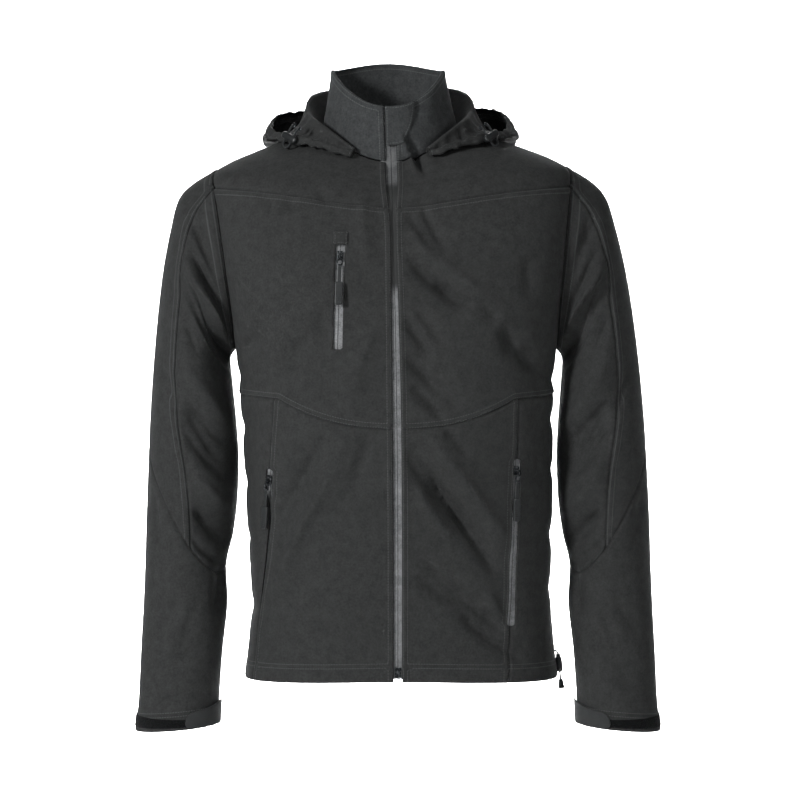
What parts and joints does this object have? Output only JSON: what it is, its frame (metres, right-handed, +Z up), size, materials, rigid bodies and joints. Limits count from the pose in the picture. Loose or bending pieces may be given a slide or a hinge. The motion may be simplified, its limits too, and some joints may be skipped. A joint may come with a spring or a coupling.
{
  "type": "softshell jacket",
  "caption": "Hollow, filled-out softshell jacket with a stand collar, folded-down hood, zipped front and pockets with swinging pullers, and hook-and-loop cuffs.",
  "frame": {"origin": "the centre of the base of the neck, where the wearer's neck and shoulders carry the jacket", "axes": "+Z up along the wearer's back; the front zip faces -Y; +X is the wearer's left"},
  "size_m": [0.6422, 0.3019, 0.8288],
  "materials": {
    "shell": "matt, fine-grained woven face of a bonded softshell",
    "collar_cloth": "matt, fine-grained woven face of a bonded softshell",
    "zip_tape": "satin, laminated woven tape",
    "zip_metal": "semi-gloss dark lacquer",
    "puller": "satin moulded rubber",
    "lock": "satin moulded plastic",
    "cord": "braided elastic",
    "loop_tape": "fuzzy loop pile",
    "cuff_tab": "satin moulded rubber"
  },
  "bodies": {
    "jacket": {"front_yoke_left": "shell", "front_chest_left": "shell", "front_lower_left": "shell", "side_panel_left": "shell", "hand_left_zip": "zip_tape", "hand_left_slider": "zip_metal", "front_yoke_right": "shell", "front_chest_right": "shell", "chest_zip": "zip_tape", "chest_slider": "zip_metal", "chest_zip_garage": "shell", "front_lower_right": "shell", "side_panel_right": "shell", "hand_right_zip": "zip_tape", "hand_right_slider": "zip_metal", "back_panel": "shell", "back_yoke": "shell", "sleeve_top_left": "shell", "sleeve_under_left": "shell", "sleeve_forearm_left": "shell", "cuff_strip_left": "loop_tape", "cuff_tab_left": "cuff_tab", "sleeve_top_right": "shell", "sleeve_under_right": "shell", "sleeve_forearm_right": "shell", "cuff_strip_right": "loop_tape", "cuff_tab_right": "cuff_tab", "collar": "collar_cloth", "chin_guard": "collar_cloth", "hood_left": "shell", "hood_centre": "shell", "hood_right": "shell", "front_zip": "zip_tape", "front_zip_slider": "zip_metal", "front_zip_box": "zip_metal", "hood_lock_left": "lock", "hood_cord_left": "cord", "hood_lock_right": "lock", "hood_cord_right": "cord", "hem_lock_left": "lock", "hem_cord_end_left": "lock", "hem_cord_left": "cord", "hem_lock_right": "lock", "hem_cord_end_right": "lock", "hem_cord_right": "cord"},
    "chest_pull": {"chest_pull_link": "zip_metal", "chest_pull_grip": "puller"},
    "hand_left_pull": {"hand_left_pull_link": "zip_metal", "hand_left_pull_grip": "puller"},
    "hand_right_pull": {"hand_right_pull_link": "zip_metal", "hand_right_pull_grip": "puller"}
  },
  "joints": [
    {"name": "chest_pull_hinge", "type": "hinge", "parent": "jacket", "child": "chest_pull", "pos_m": [-0.0682, -0.13084, -0.12646], "axis": [-0.9993, 0.0307, 0.0197], "range_deg": [0, 150]},
    {"name": "hand_left_pull_hinge", "type": "hinge", "parent": "jacket", "child": "hand_left_pull", "pos_m": [0.14333, -0.09887, -0.38214], "axis": [-0.8523, -0.523, 0.0048], "range_deg": [0, 150]},
    {"name": "hand_right_pull_hinge", "type": "hinge", "parent": "jacket", "child": "hand_right_pull", "pos_m": [-0.15699, -0.08729, -0.39318], "axis": [-0.756, 0.6372, 0.15], "range_deg": [0, 150]}
  ]
}
